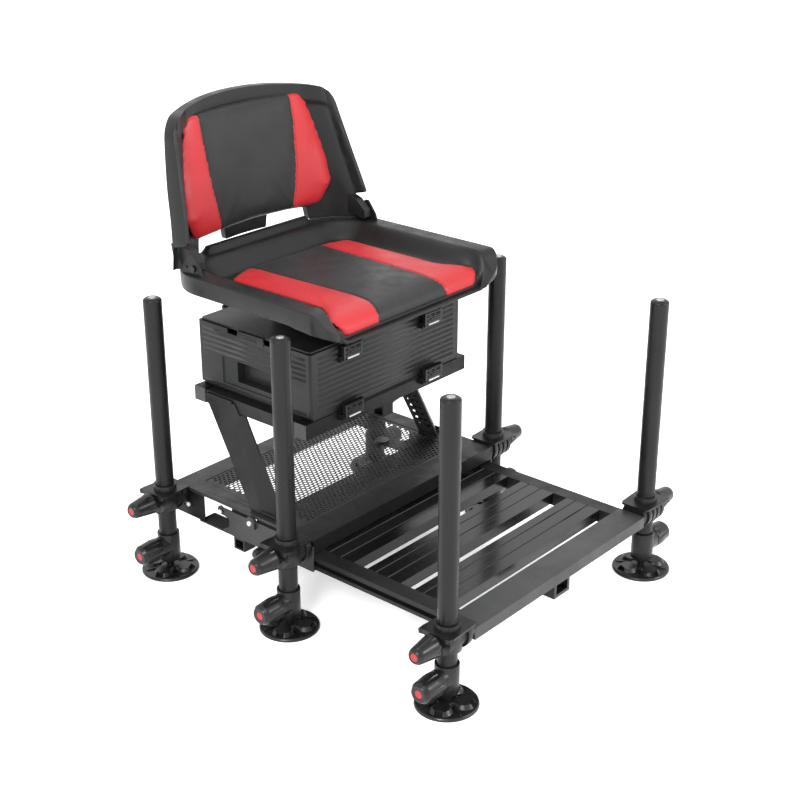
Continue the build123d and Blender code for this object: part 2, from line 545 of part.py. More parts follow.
# back cushion, dished like the shell in front of it
CW_T = [(651, 176), (700, 197), (760, 195), (830, 181), (884, 160)]
CF_C = [(651, 366), (700, 372), (760, 377), (830, 384), (884, 391)]
CF_E = [(651, 352), (700, 341), (760, 354), (830, 374), (884, 386)]


def cushion_section(z):
    w, fc, fe = lerp(CW_T, z), lerp(CF_C, z), lerp(CF_E, z)
    ws, re, rc = lerp(W_T, z), lerp(YR_E, z), lerp(YR_C, z)
    d = rc - re
    bc = rc - SHELL_T - 1.5
    be = bc - d * (w / ws) ** 2 - 2.0
    be = max(be, fe + 4)
    e = [ThreePointArc((-w, be, z), (0, bc, z), (w, be, z)),
         Line((w, be, z), (w, fe, z)),
         ThreePointArc((w, fe, z), (0, fc, z), (-w, fe, z)),
         Line((-w, fe, z), (-w, be, z))]
    return make_face(Wire(e))


bc_ = loft([cushion_section(z) for z in (651, 700, 760, 830, 884)], ruled=True)
put("back_cushion", bc_)

# ---------------------------------------------------------------- footplate
def fp_rail():
    x0, x1 = FP_X - RAIL_W, FP_X
    r = box(x0, x1, FP_Y[0] + BEAM_W, FP_Y[1] - REAR_BEAM_W, FP_Z[0], FP_Z[1])
    r -= box(x1 - 10, x1 + 1, FP_Y[0], FP_Y[1], 121.5, 131.0)                       # channel that faces outwards
    r -= box(x0 + 3, x1 - 13, FP_Y[0], FP_Y[1], FP_Z[0] + 3, FP_Z[1] - 3)
    return r


fr = fp_rail()
put("footplate_rails", group(fr, mirror_x(fr)))


def cross_beam(y0, y1):
    b = box(-FP_X, FP_X, y0, y1, BEAM_BOTTOM, FP_Z[1])
    b -= box(-FP_X + 3, FP_X - 3, y0 + 3, y1 - 3, BEAM_BOTTOM + 3, FP_Z[1] - 3)
    return b


put("footplate_cross_beams", group(cross_beam(FP_Y[0], FP_Y[0] + BEAM_W), cross_beam(FP_Y[1] - REAR_BEAM_W, FP_Y[1])))

inner_x = FP_X - RAIL_W
planks = []
for y0, y1 in PLANKS:
    zt, zb = FP_Z[1], FP_Z[1] - PLANK_H
    p = box(-inner_x, inner_x, y0, y1, zb, zt)
    n = 3 if y1 - y0 > 60 else 2
    cw = (y1 - y0 - 2.5 * (n + 1)) / n
    for j in range(n):
        ya = y0 + 2.5 + j * (cw + 2.5)
        p -= box(-inner_x + 3, inner_x - 3, ya, ya + cw, zb + 2.5, zt - 4.0)
    for yy in (y1 - 20.5, y1 - 49.5):
        if yy > y0 + 8:
            p -= prism_x([(yy - 1.7, zt + 1), (yy - 1.7, zt), (yy, zt - 1.8), (yy + 1.7, zt), (yy + 1.7, zt + 1)], -inner_x - 1, inner_x + 1)
    planks.append(p)
put("footplate_planks", group(*planks))

sock = box(-24, 24, FP_Y[0] + 6, FP_Y[0] + 34, 85.0, BEAM_BOTTOM)
sock -= box(-17.5, 17.5, FP_Y[0], FP_Y[0] + 40, 91.5, 112.0)
put("accessory_socket", sock)

# knob that locks the footplate, on the left side plate
lk = cone_x(272.4, 285, 0, 0, 9.5, 11.5) + cone_x(285, 314, 0, 0, 11.5, 9.5) + cone_x(314, 320, 0, 0, 9.5, 6)
lk += cyl_x(268.4, 273, 0, 0, 5.0)
put("footplate_lock_knob", mirror_x(Pos(0, 80, 127) * lk))

# ---------------------------------------------------------------- bolts
bolts = []
for sgn in (-1, 1):
    for b in (cyl_x(272.0, 273.8, 220, 154.0, 6.2) + cyl_x(273.7, 277.0, 220, 154.0, 4.4) + cyl_x(264.0, 273, 220, 154.0, 3.0),
              cyl_x(278.6, 282.2, 133, 160.0, 4.6) + cyl_x(264.0, 279, 133, 160.0, 3.0),
              cyl_x(271.8, 273.6, 313, 139.0, 6.2) + cyl_x(273.5, 276.8, 313, 139.0, 4.2) + cyl_x(269.3, 272.6, 313, 139.0, 3.0)):
        bolts.append(b if sgn > 0 else mirror_x(b))
    for y in (119.5, 134.0):
        b = cyl_z(180.0, 183.5, 248, y, 6.0) + cyl_z(173.5, 181, 248, y, 3.0)
        bolts.append(b if sgn > 0 else mirror_x(b))
# domed nut that holds the mesh down
bolts.append(cyl_z(175.0, 181.0, *MESH_BOSS, 15.0) + cyl_z(168.0, 176.0, *MESH_BOSS, 3.0))
put("frame_bolts", group(*bolts))

# bolts pass through the tray
s = PARTS["tray_frame"]
for sgn in (-1, 1):
    for y in (119.5, 134.0):
        s -= cyl_z(150, 200, sgn * 248, y, 3.05)
PARTS["tray_frame"] = s

# ---------------------------------------------------------------- write
os.makedirs("parts", exist_ok=True)
for f in os.listdir("parts"):
    if f.endswith(".step") and f[:-5] not in PARTS:
        os.remove(os.path.join("parts", f))
lo, hi = None, None
for name, shape in PARTS.items():
    s = Pos(0, Y_OFF, 0) * shape
    export_step(s, "parts/" + name + ".step")
    bb = s.bounding_box()
    lo = [min(a, b) for a, b in zip(lo, bb.min)] if lo else list(bb.min)
    hi = [max(a, b) for a, b in zip(hi, bb.max)] if hi else list(bb.max)
print("nodes", len(PARTS), "low", [round(v, 2) for v in lo], "high", [round(v, 2) for v in hi])
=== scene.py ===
import json
import math
import bpy
import bmesh
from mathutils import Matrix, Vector, noise

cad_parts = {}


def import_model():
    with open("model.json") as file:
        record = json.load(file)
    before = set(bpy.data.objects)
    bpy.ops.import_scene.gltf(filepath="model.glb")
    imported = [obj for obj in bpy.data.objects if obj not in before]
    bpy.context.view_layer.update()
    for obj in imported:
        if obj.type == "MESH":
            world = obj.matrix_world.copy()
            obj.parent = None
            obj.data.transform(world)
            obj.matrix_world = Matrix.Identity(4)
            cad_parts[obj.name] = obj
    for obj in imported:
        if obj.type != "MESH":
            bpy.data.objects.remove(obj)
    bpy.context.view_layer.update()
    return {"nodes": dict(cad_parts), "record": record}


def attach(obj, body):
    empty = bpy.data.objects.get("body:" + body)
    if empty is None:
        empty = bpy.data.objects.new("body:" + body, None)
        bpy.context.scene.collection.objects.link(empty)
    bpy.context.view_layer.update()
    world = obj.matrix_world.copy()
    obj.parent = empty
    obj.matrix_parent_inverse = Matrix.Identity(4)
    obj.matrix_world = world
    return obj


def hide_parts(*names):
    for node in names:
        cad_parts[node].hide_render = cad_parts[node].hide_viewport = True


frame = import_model()
NODES = frame["nodes"]
YO = -1.7                       # the modelling datum (middle leg row) in the row frame, mm
SC = bpy.context.scene
ROWS = {"front": -381.5, "middle": 0.0, "rear": 338.0}
LEG_X = 311.0


def V(x, y, z):
    """Millimetres about the leg datum to metres in the row frame."""
    return (x / 1000.0, (y + YO) / 1000.0, z / 1000.0)


# ------------------------------------------------------------------ materials
def material(name, color, rough=0.5, metallic=0.0, spec=0.5, grain=(900.0, 0.12, 0.0003), tone=0.18, rough_var=0.12,
             coat=0.0, sheen=0.0, cells=None, streak=None, wrinkle=None, fleck=0.0, zone=None, ridges=None):
    """Procedural surface: tone variation, roughness variation and one or more bump layers in metres."""
    m = bpy.data.materials.new(name)
    m.use_nodes = True
    nt = m.node_tree
    n, l = nt.nodes, nt.links
    b = n["Principled BSDF"]
    b.inputs["Metallic"].default_value = metallic
    b.inputs["Specular IOR Level"].default_value = spec
    b.inputs["Coat Weight"].default_value = coat
    b.inputs["Coat Roughness"].default_value = 0.12
    b.inputs["Sheen Weight"].default_value = sheen
    b.inputs["Sheen Roughness"].default_value = 0.4
    tc = n.new("ShaderNodeTexCoord")

    def noise_tex(scale, detail, src=None, rough_n=0.55):
        t = n.new("ShaderNodeTexNoise")
        t.inputs["Scale"].default_value = scale
        t.inputs["Detail"].default_value = detail
        t.inputs["Roughness"].default_value = rough_n
        l.new(src or tc.outputs["Object"], t.inputs["Vector"])
        return t.outputs["Fac"]

    def ramp(fac, a, c, lo, hi):
        r = n.new("ShaderNodeMapRange")
        r.inputs["From Min"].default_value = lo
        r.inputs["From Max"].default_value = hi
        r.inputs["To Min"].default_value = a
        r.inputs["To Max"].default_value = c
        l.new(fac, r.inputs["Value"])
        return r.outputs["Result"]

    broad = noise_tex(7.0, 4.0)
    fine = noise_tex(160.0, 3.0)
    mix = n.new("ShaderNodeMix")
    mix.data_type = "RGBA"
    mix.inputs["A"].default_value = (*[c * (1 - tone) for c in color], 1)
    mix.inputs["B"].default_value = (*[min(1, c * (1 + tone)) for c in color], 1)
    l.new(ramp(broad, 0.0, 1.0, 0.3, 0.7), mix.inputs["Factor"])
    out = mix.outputs["Result"]
    if fleck > 0:
        m2 = n.new("ShaderNodeMix")
        m2.data_type = "RGBA"
        m2.blend_type = "MULTIPLY"
        m2.inputs["B"].default_value = (0.72, 0.72, 0.72, 1)
        l.new(ramp(fine, 0.0, fleck, 0.45, 0.75), m2.inputs["Factor"])
        l.new(out, m2.inputs["A"])
        out = m2.outputs["Result"]
    for zn in (zone or ()):
        # (axis, from, to, colour below): a second colour on one side of a plane through the piece; on the rail ends it
        # is painted shade, on the bolts the pale side is partly painted highlight, on the tray it makes the front and
        # the lower parts darker
        sx = n.new("ShaderNodeSeparateXYZ")
        l.new(tc.outputs["Object"], sx.inputs["Vector"])
        src = sx.outputs[zn[0][-1]]
        if zn[0][0] == "|":
            ab = n.new("ShaderNodeMath")
            ab.operation = "ABSOLUTE"
            l.new(src, ab.inputs[0])
            src = ab.outputs["Value"]
        m3 = n.new("ShaderNodeMix")
        m3.data_type = "RGBA"
        m3.inputs["A"].default_value = (*zn[3], 1)
        l.new(ramp(src, 0.0, 1.0, zn[1], zn[2]), m3.inputs["Factor"])
        l.new(out, m3.inputs["B"])
        out = m3.outputs["Result"]
    l.new(out, b.inputs["Base Color"])
    if streak:
        mp = n.new("ShaderNodeMapping")
        mp.inputs["Scale"].default_value = streak
        l.new(tc.outputs["Object"], mp.inputs["Vector"])
        rf = noise_tex(1.0, 5.0, mp.outputs["Vector"])
    else:
        rf = noise_tex(28.0, 4.0)
    l.new(ramp(rf, max(0.03, rough - rough_var), min(1.0, rough + rough_var), 0.3, 0.7), b.inputs["Roughness"])
    normal = None

    def bump(height, strength, dist):
        nonlocal normal
        bm = n.new("ShaderNodeBump")
        bm.inputs["Strength"].default_value = strength
        bm.inputs["Distance"].default_value = dist
        l.new(height, bm.inputs["Height"])
        if normal is not None:
            l.new(normal, bm.inputs["Normal"])
        normal = bm.outputs["Normal"]

    if wrinkle:
        bump(noise_tex(wrinkle[0], 3.0), wrinkle[1], wrinkle[2])
    if cells:
        vo = n.new("ShaderNodeTexVoronoi")
        vo.feature = "DISTANCE_TO_EDGE"
        vo.inputs["Scale"].default_value = cells[0]
        l.new(tc.outputs["Object"], vo.inputs["Vector"])
        bump(ramp(vo.outputs["Distance"], 0.0, 1.0, 0.0, 0.22), cells[1], cells[2])
    if streak:
        bump(rf, 0.15, 0.0002)
    if ridges:
        wv = n.new("ShaderNodeTexWave")
        wv.wave_type = "BANDS"
        wv.bands_direction = ridges[0]
        wv.inputs["Scale"].default_value = ridges[1]
        wv.inputs["Distortion"].default_value = 0.0
        l.new(tc.outputs["Object"], wv.inputs["Vector"])
        bump(wv.outputs["Fac"], ridges[2], ridges[3])
    bump(noise_tex(grain[0], 4.0), grain[1], grain[2])
    l.new(normal, b.inputs["Normal"])
    return m


M = {
    "tube": material("anodised_tube", (0.0085, 0.0085, 0.009), 0.36, spec=0.20, grain=(1400, 0.10, 0.0002), fleck=0.3),
    "frame": material("powder_coat_dark", (0.0075, 0.0075, 0.008), 0.42, spec=0.22, grain=(1500, 0.22, 0.0003), fleck=0.4),
    # the tray is near-black towards its front (y below 0.024 to 0.030) and below z 0.168
    "tray": material("tray_coat", (0.020, 0.020, 0.021), 0.44, spec=0.22, grain=(1500, 0.20, 0.0003), fleck=0.4, zone=(("Y", 0.024, 0.030, (0.0035, 0.0035, 0.004)), ("Z", 0.1680, 0.1695, (0.0030, 0.0030, 0.0033)))),
    "light": material("powder_coat_mid", (0.030, 0.0305, 0.0315), 0.42, spec=0.25, grain=(1500, 0.20, 0.0003), fleck=0.4),
    # painted shade: the rail's end faces, beyond |x| 0.2334, are coloured near-black
    "rail": material("powder_coat_rail", (0.055, 0.056, 0.058), 0.42, spec=0.18, grain=(1500, 0.20, 0.0003), fleck=0.4, zone=(("|X", 0.2330, 0.2334, (0.0040, 0.0040, 0.0043)),)),
    # the bolt heads beyond |x| 0.2742 are pale, partly for the zinc and partly as a painted highlight; the washers and
    # inner bolts are dark
    "bolt": material("bolt_zinc_and_painted_highlight", (0.62, 0.62, 0.63), 0.30, grain=(900, 0.12, 0.0002), zone=(("|X", 0.2742, 0.2746, (0.012, 0.012, 0.013)),)),
    "mesh": material("mesh_black", (0.008, 0.008, 0.0085), 0.38, spec=0.25, grain=(1500, 0.15, 0.0002)),
    "plank": material("plank_black", (0.0035, 0.0035, 0.004), 0.20, spec=0.30, coat=0.10, grain=(1100, 0.05, 0.0002), streak=(3.0, 500.0, 500.0), rough_var=0.06),
    "cast": material("cast_black", (0.0065, 0.0065, 0.007), 0.36, spec=0.28, grain=(420, 0.25, 0.0005), fleck=0.4),
    "box": material("box_plastic", (0.0105, 0.011, 0.011), 0.40, spec=0.26, grain=(700, 0.22, 0.0003), streak=(6.0, 6.0, 420.0)),
    "latch": material("latch_plastic", (0.0075, 0.0075, 0.0078), 0.34, spec=0.28, grain=(900, 0.12, 0.0003)),
    "shell": material("shell_plastic", (0.0095, 0.0098, 0.010), 0.40, spec=0.24, grain=(620, 0.25, 0.0004), fleck=0.3),
    "knob": material("knob_plastic", (0.0062, 0.0062, 0.0066), 0.32, spec=0.30, grain=(800, 0.18, 0.0003), fleck=0.3),
    "foot": material("foot_plastic", (0.0060, 0.0060, 0.0064), 0.33, spec=0.34, grain=(500, 0.22, 0.0004), fleck=0.4),
    "vinyl": material("vinyl_black", (0.0135, 0.0138, 0.0142), 0.46, spec=0.24, sheen=0.03, cells=(850, 0.22, 0.0004), grain=(1800, 0.10, 0.0002), wrinkle=(24, 0.18, 0.003)),
    "vinyl_red": material("vinyl_red", (0.37, 0.0170, 0.0210), 0.40, spec=0.26, sheen=0.02, tone=0.07, cells=(850, 0.18, 0.0003), grain=(1800, 0.08, 0.0002), wrinkle=(24, 0.18, 0.003)),
    "thread": material("stitch_thread", (0.015, 0.015, 0.016), 0.7, grain=(3500, 0.5, 0.0003)),
    "thread_red": material("stitch_thread_red", (0.24, 0.010, 0.013), 0.7, grain=(3500, 0.5, 0.0003)),
    "red": material("accent_red", (0.30, 0.011, 0.017), 0.32, spec=0.30, coat=0.1, grain=(900, 0.06, 0.0002), tone=0.06),
    "steel": material("zinc_steel", (0.45, 0.45, 0.46), 0.28, metallic=1.0, grain=(900, 0.12, 0.0002), streak=(300.0, 300.0, 20.0)),
    # painted shade: near-black insets for the shaded slots, pits and top edge line of the latch levers
    "painted_slot_shade": material("latch_slot_shade", (0.0012, 0.0012, 0.0012), 0.6, spec=0.1, grain=(900, 0.08, 0.0002)),
    # painted highlight: pale metallic dome that stands in for the bright spot on each leg cap
    "cap": material("cap_painted_highlight", (0.34, 0.34, 0.345), 0.30, metallic=0.75, grain=(900, 0.08, 0.0002)),
    # painted highlight: pale bar for the bright spot on the latch lever's lower front
    "painted_highlight_pale": material("latch_painted_highlight_bar", (0.50, 0.50, 0.50), 0.35, grain=(900, 0.08, 0.0002)),
}
SLOT = {}
for sp in frame["record"]["subparts"]:
    SLOT[sp["node"]] = sp["material_slot"]
BY_SLOT = {"tube_grey": "tube", "frame_grey": "frame", "frame_light": "light", "mesh_black": "mesh", "plank_black": "plank",
           "cast_grey": "cast", "box_plastic": "box", "latch_plastic": "latch", "shell_plastic": "shell", "knob_plastic": "knob",
           "foot_plastic": "foot", "vinyl_black": "vinyl", "steel": "steel"}
for name, o in NODES.items():
    m = M[{"tray_frame": "tray", "frame_bolts": "bolt", "cassette_cross_rails": "rail", "back_hinge_pins": "knob", "lid_hinge_pins": "knob"}.get(name, BY_SLOT[SLOT[name]])]
    if not o.material_slots:
        o.data.materials.append(m)
    for s in o.material_slots:
        s.material = m


def soften(name, width, segs=2, angle=35):
    o = NODES[name]
    w = o.modifiers.new("weld", "WELD")
    w.merge_threshold = 0.000004
    b = o.modifiers.new("edges", "BEVEL")
    b.width = width / 1000.0
    b.segments = segs
    b.limit_method = "ANGLE"
    b.angle_limit = math.radians(angle)
    b.miter_outer = "MITER_ARC"
    b.use_clamp_overlap = True
    b.harden_normals = True


# ------------------------------------------------------------------ mesh helpers
def obj(name, verts, faces, mats, smooth=True):
    me = bpy.data.meshes.new(name)
    me.from_pydata(verts, [], faces)
    me.update()
    o = bpy.data.objects.new(name, me)
    SC.collection.objects.link(o)
    for m in mats:
        me.materials.append(m)
    for p in me.polygons:
        p.use_smooth = smooth
    return o


def outward(o):
    bm = bmesh.new()
    bm.from_mesh(o.data)
    bmesh.ops.remove_doubles(bm, verts=bm.verts, dist=1e-6)
    bmesh.ops.recalc_face_normals(bm, faces=bm.faces)
    bm.to_mesh(o.data)
    bm.free()


def modify(o, kind, **kw):
    m = o.modifiers.new(kind.lower(), kind)
    for k, v in kw.items():
        setattr(m, k, v)
    return m


def bake(o):
    """Applies every modifier on a piece."""
    dg = bpy.context.evaluated_depsgraph_get()
    me = bpy.data.meshes.new_from_object(o.evaluated_get(dg))
    o.modifiers.clear()
    old = o.data
    o.data = me
    bpy.data.meshes.remove(old)


def block(parts, name, mats, bevel=0.8, body="base", segs=2):
    """One piece made of several bevelled boxes, each (x0, x1, y0, y1, z0, z1) in mm."""
    vs, fs = [], []
    for x0, x1, y0, y1, z0, z1 in parts:
        k = len(vs)
        vs += [V(x, y, z) for x in (x0, x1) for y in (y0, y1) for z in (z0, z1)]
        fs += [[k + i for i in f] for f in ((0, 1, 3, 2), (4, 6, 7, 5), (0, 4, 5, 1), (2, 3, 7, 6), (0, 2, 6, 4), (1, 5, 7, 3))]
    o = obj(name, vs, fs, mats, smooth=False)
    outward(o)
    modify(o, "BEVEL", width=bevel / 1000.0, segments=segs, limit_method="ANGLE")
    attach(o, body)
    return o


def lathe(profile, n=48):
    """Closed surface of revolution about local +X from (x, r) pairs, r = 0 at both ends."""
    vs, fs, rings = [], [], []
    for x, r in profile:
        if r < 1e-6:
            rings.append([len(vs)])
            vs.append((x, 0.0, 0.0))
        else:
            rings.append(list(range(len(vs), len(vs) + n)))
            vs += [(x, r * math.cos(2 * math.pi * i / n), r * math.sin(2 * math.pi * i / n)) for i in range(n)]
    for a, b in zip(rings[:-1], rings[1:]):
        for i in range(n):
            j = (i + 1) % n
            if len(a) == 1:
                fs.append((a[0], b[j], b[i]))
            elif len(b) == 1:
                fs.append((a[i], a[j], b[0]))
            else:
                fs.append((a[i], a[j], b[j], b[i]))
    return vs, fs


def smooth01(t):
    t = max(0.0, min(1.0, t))
    return t * t * (3 - 2 * t)


def table(tab, v):
    for (a, va), (b, vb) in zip(tab[:-1], tab[1:]):
        if v <= b:
            return va + (vb - va) * max(0.0, (v - a)) / (b - a)
    return tab[-1][1]


def smoothed(tab):
    """Monotone-looking smooth version of a table, sampled finely."""
    def f(v):
        return sum(table(tab, v + d) for d in (-18, -12, -6, 0, 6, 12, 18)) / 7.0
    return f


# ------------------------------------------------------------------ seat pan
def rounded(xh, y0, y1, rf, rr, n=40):
    """Closed loop of (x, y) round a rectangle with front and rear corner radii; the same count of points whatever the size."""
    pts = []

    def arc(cx, cy, r, a0, a1):
        for i in range(n + 1):
            a = math.radians(a0 + (a1 - a0) * i / n)
            pts.append((cx + r * math.cos(a), cy + r * math.sin(a)))

    def line(p, q, k):
        for i in range(1, k):
            pts.append((p[0] + (q[0] - p[0]) * i / k, p[1] + (q[1] - p[1]) * i / k))
    arc(xh - rf, y0 + rf, rf, -90, 0)
    line((xh, y0 + rf), (xh, y1 - rr), 24)
    arc(xh - rr, y1 - rr, rr, 0, 90)
    line((xh - rr, y1), (-xh + rr, y1), 24)
    arc(-xh + rr, y1 - rr, rr, 90, 180)
    line((-xh, y1 - rr), (-xh, y0 + rf), 24)
    arc(-xh + rf, y0 + rf, rf, 180, 270)
    line((-xh + rf, y0), (xh - rf, y0), 130)
    return pts


SX, SY0, SY1 = 258.5, -56.0, 385.0
ROLL = [(-56.5, 552), (-52, 554.5), (-39, 555), (-37.2, 560), (-36.5, 566.5), (-31, 574.5), (-20, 581), (-4, 583.5), (12, 584)]
LOW_MID = [(-56, 551), (-52, 550), (-48, 547), (-41, 547), (-34, 552), (-24, 571), (-8, 577), (14, 579)]
LOW_END = [(-56, 566), (-53, 556), (-46, 549), (-40, 549), (-33, 553), (-24, 571), (-8, 578), (14, 579)]
MID_LIMIT = [(-60, 190), (-50, 193), (-38, 207), (-20, 210), (34, 175), (60, 175)]
NOSE = [(-70, 560), (-58, 573), (-54, 579.5), (-45, 587.5), (-38, 596.3), (-31, 606.5), (-22, 617), (-8, 630), (40, 680)]


def mid_part(x, y):
    return smooth01((table(MID_LIMIT, y) + 2.0 - abs(x)) / 5.0)


def pan_top(x, y, inset=99.0):
    """Height of the seat pan's upper surface."""
    ax = abs(x)
    # distance in from the side and rear edges, ignoring the front
    rr = 110.0
    cx, cy = SX - rr, SY1 - rr
    if ax > cx and y > cy:
        d = rr - math.hypot(ax - cx, y - cy)
    else:
        d = min(SX - ax, SY1 - y)
    inner = smooth01((d - 35.0) / (15.0 + 31.0 * smooth01((y + 22) / 62.0)))
    rear = smooth01((y - 352) / 20.0) * smooth01((150 - ax) / 14.0)
    z = 617.0 + 13.5 * rear * smooth01(d / 8.0) * smooth01((40 - d) / 16.0)
    z = z - (z - 584.0) * inner
    if inset < 3.0:
        z -= 3.0 - math.sqrt(max(0.0, 9.0 - (3.0 - inset) ** 2))
    if y < 14:
        s_ = max(-20.0, ax - 222.0)
        ye, dz = (y + 0.2 * s_, 0.1 * s_) if s_ > 0 else (y + 0.8 * s_, 0.4 * s_)
        nose = sum(table(NOSE, ye + q) for q in (-9, -6, -3, 0, 3, 6, 9)) / 7.0 + dz
        h = max(0.0, 14.0 - abs(z - nose)) / 14.0
        z = min(z, nose) - h * h * 3.5
        k = mid_part(x, y)
        z = min(z, z * (1 - k) + table(ROLL, y) * k)
    return z


def pan_low(x, y, inset):
    """Height of the underside, the skirt's lower edge and the front chin."""
    top = pan_top(x, y)
    side = min(top - 5.0, 604.0 if inset < 6 else 612.0)
    if inset < 4.4:
        side = table([(0, 600), (0.2, 597), (0.9, 579.6), (1.6, 578.2), (3.2, 578.0), (4.2, 579.2), (4.4, 584)], inset) + 4.0 * smooth01((y + 40) / 60.0)
    k = mid_part(x, y)
    front = table(LOW_END, y) * (1 - k) + table(LOW_MID, y) * k
    front = max(front, min(578.0, 547.4 + 0.4615 * (abs(x) - 193.3)))
    if inset < 1.6:
        front += 3.0 * (1.6 - inset) / 1.6
    f = smooth01((34 - y) / 18.0)
    return min(side * (1 - f) + front * f, top - 0.6)


def build_pan():
    vs, fs = [], []
    rings = []

    def ring(d, zf, rf=35.0, rr=110.0):
        pts = rounded(SX - d, SY0 + d, SY1 - d, max(3.0, rf - d), max(4.0, rr - d))
        rings.append((len(vs), len(pts)))
        for x, y in pts:
            vs.append(V(x, y, zf(x, y, d)))
    # underside, from the middle outwards, then up over the top
    for d in (150, 110, 90, 74, 60, 52, 46, 40, 36, 33, 30, 27, 24, 21, 18, 15, 12, 10, 8, 6.2, 4.5, 4.2, 3.2, 1.6, 0.9, 0.2):
        ring(d, pan_low)
    ring(0.0, lambda x, y, d: pan_top(x, y, 0.0))
    for d in (0.3, 0.9, 1.8, 3.0, 5, 7, 9, 12, 14.5, 17, 18, 18.8, 19.5, 21, 23, 25, 27, 30, 33, 36, 38, 41, 45, 50, 55, 60, 65, 70, 75, 80, 86, 95, 110, 130, 150):
        ring(d, pan_top)
    for (a, n), (b, _) in zip(rings[:-1], rings[1:]):
        for i in range(n):
            j = (i + 1) % n
            fs.append((a + i, a + j, b + j, b + i))
    for (s, n), z in ((rings[0], 579.0), (rings[-1], 584.0)):
        c = len(vs)
        vs.append(V(0, (SY0 + SY1) / 2, z))
        for i in range(n):
            j = (i + 1) % n
            fs.append((s + i, s + j, c))
    o = obj("seat_pan_shell", vs, fs, [M["shell"]])
    outward(o)
    for p in o.data.polygons:
        p.use_smooth = True
    o.data.set_sharp_from_angle(angle=math.radians(38))
    return o


pan = build_pan()
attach(pan, "seat")
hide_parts("seat_pan")
ped = block([(-84, -78, 86, 254, 532.5, 580), (78, 84, 86, 254, 532.5, 580), (-78, 78, 86, 92, 532.5, 580), (-78, 78, 248, 254, 532.5, 580),
             (-4, 4, 92, 248, 532.5, 580), (-78, 78, 166, 174, 534, 580), (-70, -20, 200, 206, 536, 580), (20, 70, 134, 140, 536, 580)],
            "seat_mounting_block", [M["shell"]], 1.2, "seat")


# ------------------------------------------------------------------ padded pieces
def puff(o, pin, pressure=4.0, cap=0.008, voxel=0.005, frames=20, stiff=15.0):
    """Voxel remesh, a short inflated cloth run with the motion capped, then one subdivision. pin(co) gives 0 to 1."""
    modify(o, "REMESH", mode="VOXEL", voxel_size=voxel, use_smooth_shade=True)
    bake(o)
    rest = [v.co.copy() for v in o.data.vertices]
    vg = o.vertex_groups.new(name="held")
    for v in o.data.vertices:
        w = pin(v.co * 1000.0)
        if w > 0.001:
            vg.add([v.index], w, "REPLACE")
    c = modify(o, "CLOTH")
    s = c.settings
    s.quality = 5
    s.mass = 0.3
    s.tension_stiffness = s.compression_stiffness = stiff
    s.shear_stiffness = 5
    s.bending_stiffness = 0.5
    s.use_pressure = True
    s.uniform_pressure_force = pressure
    s.vertex_group_mass = "held"
    s.effector_weights.gravity = 0.0
    c.collision_settings.use_collision = False
    c.point_cache.frame_start, c.point_cache.frame_end = 1, frames
    for f in range(1, frames + 1):
        SC.frame_set(f)
    dg = bpy.context.evaluated_depsgraph_get()
    ev = o.evaluated_get(dg).to_mesh()
    new = [v.co.copy() for v in ev.vertices]
    o.evaluated_get(dg).to_mesh_clear()
    o.modifiers.clear()
    for v, a, b in zip(o.data.vertices, rest, new):
        d = b - a
        if d.length > cap:
            d *= cap / d.length
        v.co = a + d
    o.data.update()
    SC.frame_set(1)
    modify(o, "SMOOTH", factor=0.5, iterations=3)
    modify(o, "SUBSURF", levels=1, render_levels=1)
    bake(o)
    for p in o.data.polygons:
        p.use_smooth = True


SEAM_IN = [(-45, 98), (-4, 87), (34, 86.5), (302.7, 97.8), (320, 98.5)]      # y to |x| of the seam between black and red
CUSH_OUT = [(-50, 168), (-44, 179), (-40, 188), (-34, 198), (-26, 206), (-20, 208), (-12, 205), (0, 197), (14, 186), (28, 175.5), (42, 170), (274, 171.5), (304, 103), (306, 98)]
CUSH_TOP = [(-43.5, 557), (-42.5, 565), (-39, 574), (-33, 581.5), (-22, 588.5), (-8, 592.5), (10, 594.5), (30, 595.2), (285, 595.2), (303, 592)]
CUSH_LOW = [(-43, 556.3), (-38.9, 556.3), (-38.4, 560), (-37.9, 567), (-32.3, 575.9), (-21, 582.6), (-5, 585.0), (10, 585.3), (303, 585.3)]


def seat_pad():
    """Low-thickness base form of the seat cushion before it is inflated."""
    vs, fs, rows = [], [], []
    ys = [-43.2, -42.6, -41, -38.5, -35, -30, -24, -17, -9, 0, 10, 20, 34, 60, 100, 140, 180, 220, 250, 274, 290, 303]
    us = [-1, -0.97, -0.9, -0.8, -0.65, -0.5, -0.3, -0.1, 0.1, 0.3, 0.5, 0.65, 0.8, 0.9, 0.97, 1]
    for y in ys:
        out = table(CUSH_OUT, y)
        top, low = [], []
        for u in us:
            x = out * u
            e = 1 - smooth01((abs(x) - (out - 14)) / 14.0)
            rear = smooth01((306 - y) / 14.0)
            zt, zl = table(CUSH_TOP, y), table(CUSH_LOW, y)
            if y < -30:
                zl = table(CUSH_LOW, y)
            t = zt - max(zl, 556.3 if y < -38 else zl)
            top.append(len(vs)); vs.append(V(x, y, zl + (zt - zl) * (0.35 + 0.65 * e) * (0.4 + 0.6 * rear) if y > -30 else zt))
            low.append(len(vs)); vs.append(V(x, y + (5.2 if y < -30 else 0), zl))
        rows.append((top, low))
    for (ta, la), (tb, lb) in zip(rows[:-1], rows[1:]):
        for i in range(len(us) - 1):
            fs.append((ta[i], ta[i + 1], tb[i + 1], tb[i]))
            fs.append((la[i + 1], la[i], lb[i], lb[i + 1]))
        fs.append((ta[0], tb[0], lb[0], la[0]))
        fs.append((tb[-1], ta[-1], la[-1], lb[-1]))
    for t, lo, s in ((rows[0][0], rows[0][1], 1), (rows[-1][0], rows[-1][1], -1)):
        for i in range(len(us) - 1):
            fs.append((t[i], lo[i], lo[i + 1], t[i + 1])[::s])
    o = obj("seat_cushion_cover", vs, fs, [M["vinyl"], M["vinyl_red"]])
    outward(o)
    return o


